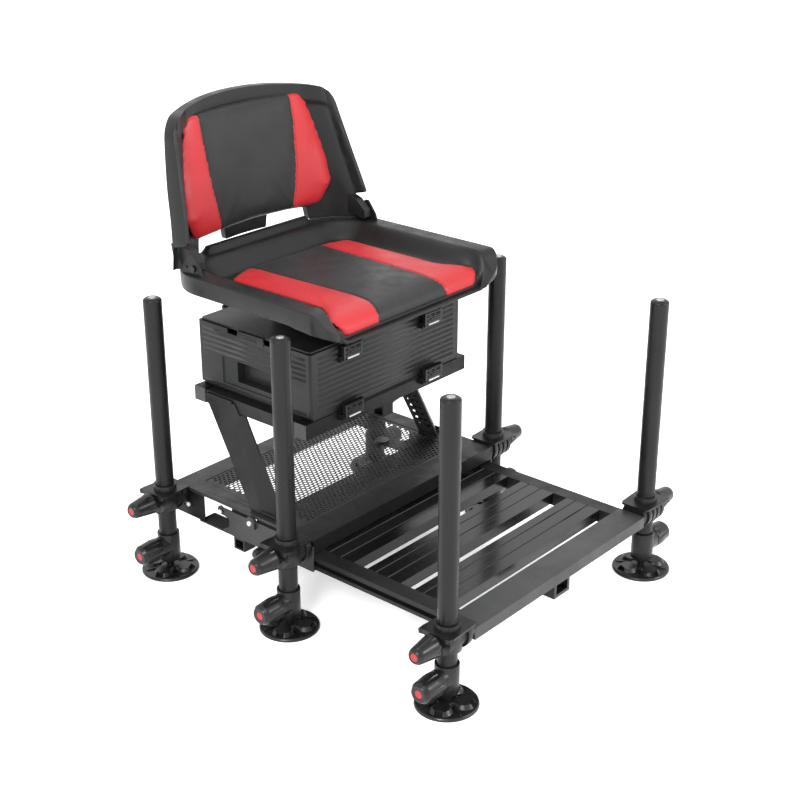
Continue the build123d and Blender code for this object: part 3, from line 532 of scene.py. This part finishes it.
def seat_pin(p):
    x, y, z = abs(p.x), p.y - YO, p.z
    w = 1.0 - smooth01((abs(x - table(SEAM_IN, y)) - 2.0) / 5.0)
    low = table(CUSH_LOW, y)
    if y > -30 and z < low + 1.5:
        w = 1.0
    if y < -36 and z < 559:
        w = 1.0
    if y > 296:
        w = max(w, smooth01((y - 296) / 7.0))
    return w


def groove(o, seam_dist, depth=1.8, width=4.0, normal_only=True):
    """Presses a stitched seam into a piece, along its normals."""
    me = o.data
    nrm = [v.normal.copy() for v in me.vertices]
    for v, n in zip(me.vertices, nrm):
        d = seam_dist(v.co * 1000.0)
        if d < width:
            v.co -= n * (depth / 1000.0) * (1 - smooth01(d / width))
    me.update()


def stitches(name, path, mat, body, pitch=5.0, length=3.4, r=0.42, lift=0.25):
    """A row of thread stitches along a path of (point, normal) in metres."""
    vs, fs = [], []
    acc = 0.0
    for (p, n), (q, _) in zip(path[:-1], path[1:]):
        d = q - p
        L = d.length
        if L < 1e-9:
            continue
        d.normalize()
        while acc < L:
            c = p + d * acc + n * (lift / 1000.0)
            side = d.cross(n).normalized()
            k = len(vs)
            h = length / 2000.0
            for s, f in ((-1, 0.35), (-0.6, 1.0), (0.6, 1.0), (1, 0.35)):
                for a in range(6):
                    an = a * math.pi / 3
                    vs.append(tuple(c + d * (h * s) + (side * math.cos(an) + n * math.sin(an)) * (r * f / 1000.0) - n * (abs(s) > 0.9) * (0.35 / 1000.0)))
            for i in range(3):
                for a in range(6):
                    b = (a + 1) % 6
                    fs.append((k + i * 6 + a, k + i * 6 + b, k + i * 6 + 6 + b, k + i * 6 + 6 + a))
            fs.append(tuple(k + a for a in range(5, -1, -1)))
            fs.append(tuple(k + 18 + a for a in range(6)))
            acc += pitch / 1000.0
        acc -= L
    if not vs:
        return None
    o = obj(name, vs, fs, [mat])
    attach(o, body)
    return o


def surface_path(o, pts, direction):
    """Drops (x, y, z) start points along a direction onto a piece, giving (hit, normal)."""
    from mathutils.bvhtree import BVHTree
    bm = bmesh.new()
    bm.from_mesh(o.data)
    tree = BVHTree.FromBMesh(bm)
    out = []
    for p in pts:
        h, n, _, _ = tree.ray_cast(Vector(p), Vector(direction))
        if h is not None:
            out.append((h, n))
    bm.free()
    return out


def colour_by(o, test):
    for p in o.data.polygons:
        p.material_index = 1 if test(p.center * 1000.0) else 0


seat_pad_o = seat_pad()
puff(seat_pad_o, seat_pin, pressure=4.0, cap=0.0055)


def seat_red(p):
    x, y = abs(p.x), p.y - YO
    return x > table(SEAM_IN, y) and y < 303 - (x - 98) * 0.40


def seat_seam(p):
    x, y = abs(p.x), p.y - YO
    if y > 302 - (x - 98) * 0.4 + 8:
        return 99
    return abs(x - table(SEAM_IN, y))


groove(seat_pad_o, seat_seam, 1.6, 4.5)
colour_by(seat_pad_o, seat_red)
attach(seat_pad_o, "seat")
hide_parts("seat_cushion")
for s in (-1, 1):
    for k, (off, mat) in enumerate(((-3.2, M["thread"]), (3.2, M["thread_red"]))):
        pts = [V(s * (table(SEAM_IN, y) + off), y, 640) for y in [-36 + 4 * i for i in range(84)] if y < 298]
        path = surface_path(seat_pad_o, pts, (0, 0, -1))
        stitches("seat_stitch_%s_%d" % ("left" if s < 0 else "right", k), path, mat, "seat")


# ------------------------------------------------------------------ back shell
W_T = smoothed([(560, 262), (619, 258.0), (661, 253.5), (707, 244), (763, 234), (831, 223), (891, 214), (930, 208)])
RE_T = smoothed([(560, 325), (619, 333), (661, 338), (707, 350), (763, 367), (831, 380), (891, 388), (930, 392)])
FE_T = smoothed([(560, 290), (619, 296), (661, 298), (707, 310), (763, 327), (831, 348), (891, 367), (930, 376)])
RC_T = smoothed([(560, 419), (619, 423), (661, 425), (707, 428), (763, 431), (831, 436), (891, 441), (930, 444)])


def top_edge(x, w):
    ax = abs(x)
    z = 887 + 22 * (1 - min(1.0, ax / 214.0) ** 2.3)
    r = 30.0
    k = max(0.0, ax - (w - r))
    return z - (r - math.sqrt(max(0.0, r * r - min(k, r) ** 2)))


def bottom_edge(x):
    ax = abs(x)
    return 619 + 27.0 * smooth01((ax - 55) / 6.0) * (1 - smooth01((ax - 149) / 6.0))


def back_rear(x, z, w):
    rc, re = RC_T(z), RE_T(z)
    return rc - (rc - re) * min(1.2, abs(x) / w) ** 2


def back_front(x, z, w, zt):
    """Front face: rim at the sides and top, recess for the cushion."""
    ax = abs(x)
    rear = back_rear(x, z, w)
    fe = FE_T(z)
    if z < 672:                                  # wing cut back round the hinge bracket
        fe = fe + (336 - fe) * smooth01((ax - 236) / 5.0) * smooth01((672 - z) / 10.0)
    recess = rear - 13.0
    side = smooth01((ax - (w - 20)) / 12.0)
    wing = recess + (fe - recess) * side
    # slope from the recess up to the wing
    ramp = smooth01((ax - (w - 62)) / 44.0) * 0.45
    wing = min(wing, recess + (fe - recess) * max(side, ramp))
    rim_top = smooth01((z - (zt - 40)) / 10.0)
    return wing - 7.0 * rim_top * (1 - side)


def build_back():
    cols = []
    for a in (0, 10, 20, 30, 40, 48, 53, 55, 56.5, 58, 59.5, 61, 63, 70, 80, 90, 100, 110, 120, 130, 138, 144, 147, 149, 150.5, 152, 153.5, 155, 158, 164, 170, 176, 182):
        cols.append(("x", a))
    fr = [0.02 + 0.98 * i / 20 for i in range(1, 21)]
    cols += [("w", f) for f in fr]
    nv = 60
    sgn_cols = [(-1, c) for c in reversed(cols[1:])] + [(1, c) for c in cols]
    front, rear = [], []
    for s, (kind, a) in sgn_cols:
        fcol, rcol = [], []
        for j in range(nv + 1):
            t = j / nv
            # width varies with height, so step up the column and solve x on the way
            z = 619 + t * 270
            w = W_T(z)
            x = a if kind == "x" else 182 + (w - 182) * a
            for _ in range(3):
                zb, zt = bottom_edge(x), top_edge(x, w)
                z = zb + (zt - zb) * t
                w = W_T(z)
                x = a if kind == "x" else 182 + (w - 182) * a
            x *= s
            zt = top_edge(x, w)
            fcol.append((x, back_front(x, z, w, zt), z))
            rcol.append((x, back_rear(x, z, w), z))
        front.append(fcol)
        rear.append(rcol)
    vs, fs = [], []
    nf, nr = [], []

    def inset(grid, col, j, amount):
        return grid[col][j]
    for g, store in ((front, nf), (rear, nr)):
        for c in g:
            ids = []
            for p in c:
                ids.append(len(vs))
                vs.append(V(*p))
            store.append(ids)
    nc = len(sgn_cols)
    for i in range(nc - 1):
        for j in range(nv):
            fs.append((nf[i][j], nf[i + 1][j], nf[i + 1][j + 1], nf[i][j + 1]))
            fs.append((nr[i + 1][j], nr[i][j], nr[i][j + 1], nr[i + 1][j + 1]))
        fs.append((nf[i][0], nr[i][0], nr[i + 1][0], nf[i + 1][0]))
        fs.append((nf[i][nv], nf[i + 1][nv], nr[i + 1][nv], nr[i][nv]))
    for j in range(nv):
        fs.append((nf[0][j + 1], nf[0][j], nr[0][j], nr[0][j + 1])[::-1])
        fs.append((nf[-1][j], nf[-1][j + 1], nr[-1][j + 1], nr[-1][j])[::-1])
    o = obj("back_shell_moulding", vs, fs, [M["shell"]])
    outward(o)
    modify(o, "BEVEL", width=0.0026, segments=3, limit_method="ANGLE", angle_limit=math.radians(50))
    return o


back = build_back()
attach(back, "back")
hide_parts("back_shell")
for s, nm in ((-1, "left"), (1, "right")):
    # hinge arms from the shell to the pivots
    prof = [(281.5, 624), (285, 620.5), (290, 619.2), (296, 620.5), (300, 623), (352, 632), (358, 664), (330, 668), (306, 660), (292, 648), (283, 640)]
    vs = [V(s * x, y, z) for x in (222.0, 241.4) for y, z in prof]
    n = len(prof)
    fs = [tuple(range(n)), tuple(range(2 * n - 1, n - 1, -1))] + [(i, (i + 1) % n, n + (i + 1) % n, n + i) for i in range(n)]
    a = obj("back_hinge_arm_" + nm, vs, fs, [M["shell"]], smooth=False)
    outward(a)
    modify(a, "BEVEL", width=0.0018, segments=3, limit_method="ANGLE", angle_limit=math.radians(50))
    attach(a, "back")

# back cushion
BSEAM = [(640, 100), (668, 100), (744, 115), (837, 122.3), (883, 122.7), (900, 122.7)]      # z to |x|
BOUT = [(650, 172), (656, 177), (697, 201), (740, 197.5), (785, 191), (828, 178), (867, 168), (884, 150)]
CF_C = [(645, 366), (668, 369), (700, 372), (760, 377), (830, 384), (884, 391)]
CF_E = [(645, 356), (656, 352), (697, 340), (740, 350), (785, 364), (828, 374), (867, 384), (884, 387)]


def back_pad():
    vs, fs, rows = [], [], []
    zs = [652, 655, 660, 668, 680, 697, 715, 740, 765, 785, 808, 828, 848, 862, 872, 879, 883]
    us = [-1, -0.97, -0.9, -0.8, -0.65, -0.5, -0.3, -0.1, 0.1, 0.3, 0.5, 0.65, 0.8, 0.9, 0.97, 1]
    for z in zs:
        out = table(BOUT, z)
        w = W_T(z)
        f, r = [], []
        for u in us:
            x = out * u
            yr = back_rear(x, z, w) - 14.0
            yf = table(CF_C, z) + (table(CF_E, z) - table(CF_C, z)) * u * u
            yf = yf + 4.0
            edge = 1 - smooth01((abs(x) - (out - 14)) / 14.0)
            tb = smooth01((z - 646) / 14.0) * smooth01((890 - z) / 14.0)
            yf = yr + (yf - yr) * (0.45 + 0.55 * edge * tb) if yf < yr - 3 else yr - 3
            f.append(len(vs)); vs.append(V(x, yf, z))
            r.append(len(vs)); vs.append(V(x, yr, z))
        rows.append((f, r))
    for (ta, la), (tb_, lb) in zip(rows[:-1], rows[1:]):
        for i in range(len(us) - 1):
            fs.append((ta[i], ta[i + 1], tb_[i + 1], tb_[i]))
            fs.append((la[i + 1], la[i], lb[i], lb[i + 1]))
        fs.append((ta[0], tb_[0], lb[0], la[0]))
        fs.append((tb_[-1], ta[-1], la[-1], lb[-1]))
    for t, lo, s in ((rows[0][0], rows[0][1], 1), (rows[-1][0], rows[-1][1], -1)):
        for i in range(len(us) - 1):
            fs.append((t[i], lo[i], lo[i + 1], t[i + 1])[::s])
    o = obj("back_cushion_cover", vs, fs, [M["vinyl"], M["vinyl_red"]])
    outward(o)
    return o


def back_pin(p):
    x, y, z = p.x, p.y - YO, p.z
    w = 1.0 - smooth01((abs(abs(x) - table(BSEAM, z)) - 2.0) / 5.0)
    if y > back_rear(x, z, W_T(z)) - 15.5:
        w = 1.0
    return w


back_pad_o = back_pad()
puff(back_pad_o, back_pin, pressure=4.0, cap=0.006)


def back_red(p):
    return abs(p.x) > table(BSEAM, p.z)


groove(back_pad_o, lambda p: abs(abs(p.x) - table(BSEAM, p.z)), 1.6, 4.5)
colour_by(back_pad_o, back_red)
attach(back_pad_o, "back")
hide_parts("back_cushion")
for s in (-1, 1):
    for k, (off, mat) in enumerate(((-3.2, M["thread"]), (3.2, M["thread_red"]))):
        pts = [V(s * (table(BSEAM, z) + off), 250, z) for z in [660 + 4 * i for i in range(56)] if z < 876]
        path = surface_path(back_pad_o, pts, (0, 1, 0))
        stitches("back_stitch_%s_%d" % ("left" if s < 0 else "right", k), path, mat, "back")


# ------------------------------------------------------------------ mesh panel with real holes
def mesh_panel():
    x0, x1, y0, y1 = -229.8, 229.8, 30.2, 309.8
    zt, zb = 175.0, 174.2
    px, py = 11.0, 8.0
    rx, ry = 4.25, 3.05
    nx, ny = int((x1 - x0 - 10) / px), int((y1 - y0 - 6) / py)
    cx0 = (x0 + x1) / 2 - (nx - 0.5) * px / 2 + px / 4
    cy0 = (y0 + y1) / 2 - (ny - 1) * py / 2
    vs, fs = [], []
    hole = [(math.copysign(abs(math.cos(i * math.pi / 8)) ** 0.8, math.cos(i * math.pi / 8)) * rx,
             math.copysign(abs(math.sin(i * math.pi / 8)) ** 0.8, math.sin(i * math.pi / 8)) * ry) for i in range(16)]
    cell = [(1, 0), (1, 0.5), (1, 1), (0.5, 1), (0, 1), (-0.5, 1), (-1, 1), (-1, 0.5), (-1, 0), (-1, -0.5), (-1, -1), (-0.5, -1), (0, -1), (0.5, -1), (1, -1), (1, -0.5)]
    for iy in range(ny):
        for ix in range(nx):
            cx = cx0 + ix * px + (px / 2 if iy % 2 else 0) - px / 4
            cy = cy0 + iy * py
            k = len(vs)
            for z in (zt, zb):
                vs += [V(cx + a * px / 2, cy + b * py / 2, z) for a, b in cell]
                vs += [V(cx + a, cy + b, z) for a, b in hole]
            for i in range(16):
                j = (i + 1) % 16
                fs.append((k + i, k + j, k + 16 + j, k + 16 + i))
                fs.append((k + 32 + j, k + 32 + i, k + 48 + i, k + 48 + j))
                fs.append((k + 16 + i, k + 16 + j, k + 48 + j, k + 48 + i))
    # plain border strips, and the staggered row ends
    ex0, ex1 = cx0 - px / 2 - px / 4, cx0 + (nx - 1) * px + px / 2 + px / 4
    ey0, ey1 = cy0 - py / 2, cy0 + (ny - 1) * py + py / 2

    def slab(a, b, c, d):
        k = len(vs)
        vs.extend([V(x, y, z) for x in (a, b) for y in (c, d) for z in (zb, zt)])
        fs.extend([[k + i for i in f] for f in ((0, 1, 3, 2), (4, 6, 7, 5), (0, 4, 5, 1), (2, 3, 7, 6), (0, 2, 6, 4), (1, 5, 7, 3))])
    slab(x0, x1, y0, ey0)
    slab(x0, x1, ey1, y1)
    slab(x0, ex0, ey0, ey1)
    slab(ex1, x1, ey0, ey1)
    for iy in range(ny):
        lo = cx0 + (px / 2 if iy % 2 else 0) - px / 4 - px / 2
        hi = lo + nx * px
        c, d = cy0 + iy * py - py / 2, cy0 + iy * py + py / 2
        if lo > ex0 + 0.01:
            slab(ex0, lo, c, d)
        if hi < ex1 - 0.01:
            slab(hi, ex1, c, d)
    o = obj("mesh_panel_perforated", vs, fs, [M["mesh"]], smooth=False)
    return o


mp = mesh_panel()
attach(mp, "base")
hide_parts("mesh_panel")

# ------------------------------------------------------------------ storage box ribs
def ribs(name, rows, axis, face, out, mat):
    """Fine horizontal ribs standing off a box face. rows: (a0, a1, z) along the face; axis 'x' or 'y'."""
    vs, fs = [], []
    for a0, a1, z in rows:
        h, d = 3.0, 0.16
        sec = [(0.0, -h), (d * 0.8, -h * 0.55), (d, 0.0), (d * 0.8, h * 0.55), (0.0, h), (-0.6, h), (-0.6, -h)]
        k = len(vs)
        for a in (a0, a1):
            for o_, dz in sec:
                p = face + out * o_
                vs.append(V(a, p, z + dz) if axis == "x" else V(p, a, z + dz))
        n = len(sec)
        fs += [tuple(k + i for i in range(n)), tuple(k + n + i for i in range(n - 1, -1, -1))]
        fs += [(k + i, k + n + i, k + n + (i + 1) % n, k + (i + 1) % n) for i in range(n)]
    o = obj(name, vs, fs, [mat])
    outward(o)
    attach(o, "base")
    return o


zz = [398 + 10.4 * i for i in range(11)]
ribs("box_ribs_front", [(-196, 196, z) for z in zz], "x", 22.0, -1, M["box"])
ribs("box_ribs_rear", [(-205, 205, z) for z in zz if z < 500], "x", 321.6, 1, M["box"])
for s, nm in ((-1, "left"), (1, "right")):
    rows = [(34, 310, z) for z in (460.5, 470.9, 481.3, 491.7)]
    rows += [(34, 108, 502.1), (242, 310, 502.1), (34, 310, 394.5)]
    ribs("box_ribs_" + nm, rows, "y", s * 215.7, s, M["box"])
    block([(s * 213.2, s * 217.4, 141, 212, 500.5, 512.5), (s * 207.0, s * 216.8, 142, 211, 511.0, 516.6), (s * 213.4, s * 218.6, 160, 193, 503.5, 507.5)], "lid_pull_" + nm, [M["latch"]], 1.2, "lid")

# ------------------------------------------------------------------ latches: painted highlight bar and painted shade marks
for s, nm in ((-1, "left"), (1, "right")):
    for lv, z0, yb in (("upper", 482.0, 22.0), ("lower", 365.0, 20.0)):
        body = "latch_%s_%s_lever" % (lv, nm)
        cx = s * 116.5
        # painted highlight: pale bar low on the lever's front
        block([(cx - 15.5, cx + 15.5, yb - 16.3, yb - 14.8, z0 + 5.2, z0 + 8.0)], "latch_bar_%s_%s" % (lv, nm), [M["painted_highlight_pale"]], 0.5, body)
        # painted shade: black insets for the lever's top edge line, slots and pits
        block([(cx - 24.5, cx + 24.5, yb - 16.0, yb - 9.0, z0 + 31.2, z0 + 33.3), (cx - 20, cx - 15, yb - 15.9, yb - 13.8, z0 + 21.5, z0 + 26.5), (cx - 20, cx - 16, yb - 15.9, yb - 13.8, z0 + 12.5, z0 + 16.0),
               (cx - 6, cx + 3, yb - 15.9, yb - 13.8, z0 + 23.0, z0 + 25.5), (cx + 9, cx + 20, yb - 15.9, yb - 13.8, z0 + 20.5, z0 + 27.0), (cx - 21, cx - 17.5, yb - 15.9, yb - 13.8, z0 + 4.5, z0 + 8.5)],
              "latch_marks_%s_%s" % (lv, nm), [M["painted_slot_shade"]], 0.3, body)
        block([(cx - 9, cx + 6, yb - 17.0, yb - 13.8, z0 + 15.0, z0 + 18.5)], "latch_lip_%s_%s" % (lv, nm), [M["latch"]], 0.8, body)

# ------------------------------------------------------------------ knobs: red end discs
def disc(name, x, y, z, s, r, thick, body):
    vs, fs = lathe([(0, 0), (0, r), (thick * 0.6, r), (thick * 0.9, r * 0.93), (thick, r * 0.8), (thick * 0.8, r * 0.45), (thick * 0.8, 0)])
    vs = [V(s * (x + a), y + b, z + c) for a, b, c in vs]
    o = obj(name, vs, fs, [M["red"]])
    outward(o)
    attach(o, body)
    return o


CLZ = {"front": 114.0, "middle": 140.0, "rear": 140.0}
for row, y in ROWS.items():
    for s, nm in ((-1, "left"), (1, "right")):
        t = row + "_" + nm
        disc("clamp_knob_cap_" + t, LEG_X + 87.2, y, CLZ[row] + 22, s, 8.1, 1.6, "clamp_knob_" + t + "_body")
        disc("foot_knob_cap_" + t, LEG_X + 75.2, y, 57, s, 8.2, 1.6, "foot_knob_" + t + "_body")

# domed plug in the top of each leg, and a pale metallic dome inside it as a painted highlight
TRIM = {"middle_left": 5.0, "front_right": -5.0}
for row, y in ROWS.items():
    for s, nm in ((-1, "left"), (1, "right")):
        t = row + "_" + nm
        z = 577.9 + TRIM.get(t, 0.0)
        for part, prof, mat in (("plug", [(0, 0), (0, 13.4), (0.7, 13.4), (1.2, 12.6), (1.3, 10.6), (1.3, 0)], "knob"),
                                ("painted_highlight_dome", [(0.8, 0), (0.8, 7.6), (1.7, 7.3), (2.2, 6.0), (2.6, 3.6), (2.8, 0)], "cap")):
            vs, fs = lathe(prof, 40)
            o = obj("leg_top_%s_%s" % (part, t), [V(s * LEG_X + b, y + c, z + a) for a, b, c in vs], fs, [M[mat]])
            outward(o)
            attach(o, "leg_" + t)


def band(name, xh, z0, z1, y0, y1, r, mat, body):
    """Raised panel with rounded ends on a face that looks along -Y."""
    pts = []
    for cx, cz, a0 in ((xh - r, z0 + r, -90), (xh - r, z1 - r, 0), (-xh + r, z1 - r, 90), (-xh + r, z0 + r, 180)):
        for i in range(13):
            a = math.radians(a0 + 7.5 * i)
            pts.append((cx + r * math.cos(a), cz + r * math.sin(a)))
    n = len(pts)
    vs = [V(x, y, z) for y in (y0, y1) for x, z in pts]
    fs = [tuple(range(n)), tuple(range(2 * n - 1, n - 1, -1))] + [(i, (i + 1) % n, n + (i + 1) % n, n + i) for i in range(n)]
    o = obj(name, vs, fs, [mat], smooth=False)
    outward(o)
    modify(o, "BEVEL", width=0.0008, segments=3, limit_method="ANGLE", angle_limit=math.radians(50))
    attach(o, body)
    return o


band("front_rail_panel", 80.0, 354.6, 379.6, 17.6, 20.4, 11.5, M["rail"], "base")

for n in ("tray_frame", "side_plates", "struts", "cassette_cross_rails", "footplate_rails", "footplate_cross_beams", "storage_box", "box_lid"):
    soften(n, 0.7)
for n in ("frame_leg_clamps", "footplate_leg_clamps"):
    soften(n, 0.9)
for row in ROWS:
    for nm in ("left", "right"):
        for p in ("clamp_knob_", "foot_knob_", "foot_collar_", "mud_foot_"):
            soften(p + row + "_" + nm, 0.8)

# ------------------------------------------------------------------ floor, light, camera
floor = obj("floor", [(-12, -12, 0), (12, -12, 0), (12, 12, 0), (-12, 12, 0)], [(0, 1, 2, 3)], [], smooth=False)
fm = material("studio_floor", (0.93, 0.93, 0.93), 0.85, spec=0.1, grain=(60, 0.02, 0.0002), tone=0.01)
fb = fm.node_tree.nodes["Principled BSDF"]
fb.inputs["Emission Color"].default_value = (1, 1, 1, 1)
fb.inputs["Emission Strength"].default_value = 0.42
floor.data.materials.append(fm)

w = bpy.data.worlds.new("studio")
SC.world = w
w.use_nodes = True
w.node_tree.nodes["Background"].inputs["Color"].default_value = (1, 1, 1, 1)
w.node_tree.nodes["Background"].inputs["Strength"].default_value = 1.5


def area(name, loc, target, size, power):
    d = bpy.data.lights.new(name, "AREA")
    d.shape = "RECTANGLE"
    d.size, d.size_y = size
    d.energy = power
    o = bpy.data.objects.new(name, d)
    SC.collection.objects.link(o)
    o.location = loc
    o.rotation_euler = (Vector(target) - Vector(loc)).to_track_quat("-Z", "Y").to_euler()
    return o


area("key", (-3.2, -1.2, 2.6), (0, 0, 0.4), (0.9, 0.9), 95)
area("front", (1.6, -3.4, 2.2), (0, 0, 0.4), (1.0, 0.8), 75)
area("top", (0.3, 0.6, 3.4), (0, 0, 0.4), (1.2, 1.2), 15)

cam_d = bpy.data.cameras.new("camera")
cam = bpy.data.objects.new("camera", cam_d)
SC.collection.objects.link(cam)
cam_d.sensor_width = 36.0
cam_d.lens = 67.24
cam.location = V(-2007.6, -1739.2, 1513.5)
az, el = math.radians(-49.204), math.radians(23.410)
back_v = Vector((math.sin(az) * math.cos(el), -math.cos(az) * math.cos(el), math.sin(el)))
cam.rotation_euler = (-back_v).to_track_quat("-Z", "Y").to_euler()
SC.camera = cam
SC.view_settings.view_transform = "Standard"
SC.view_settings.look = "None"
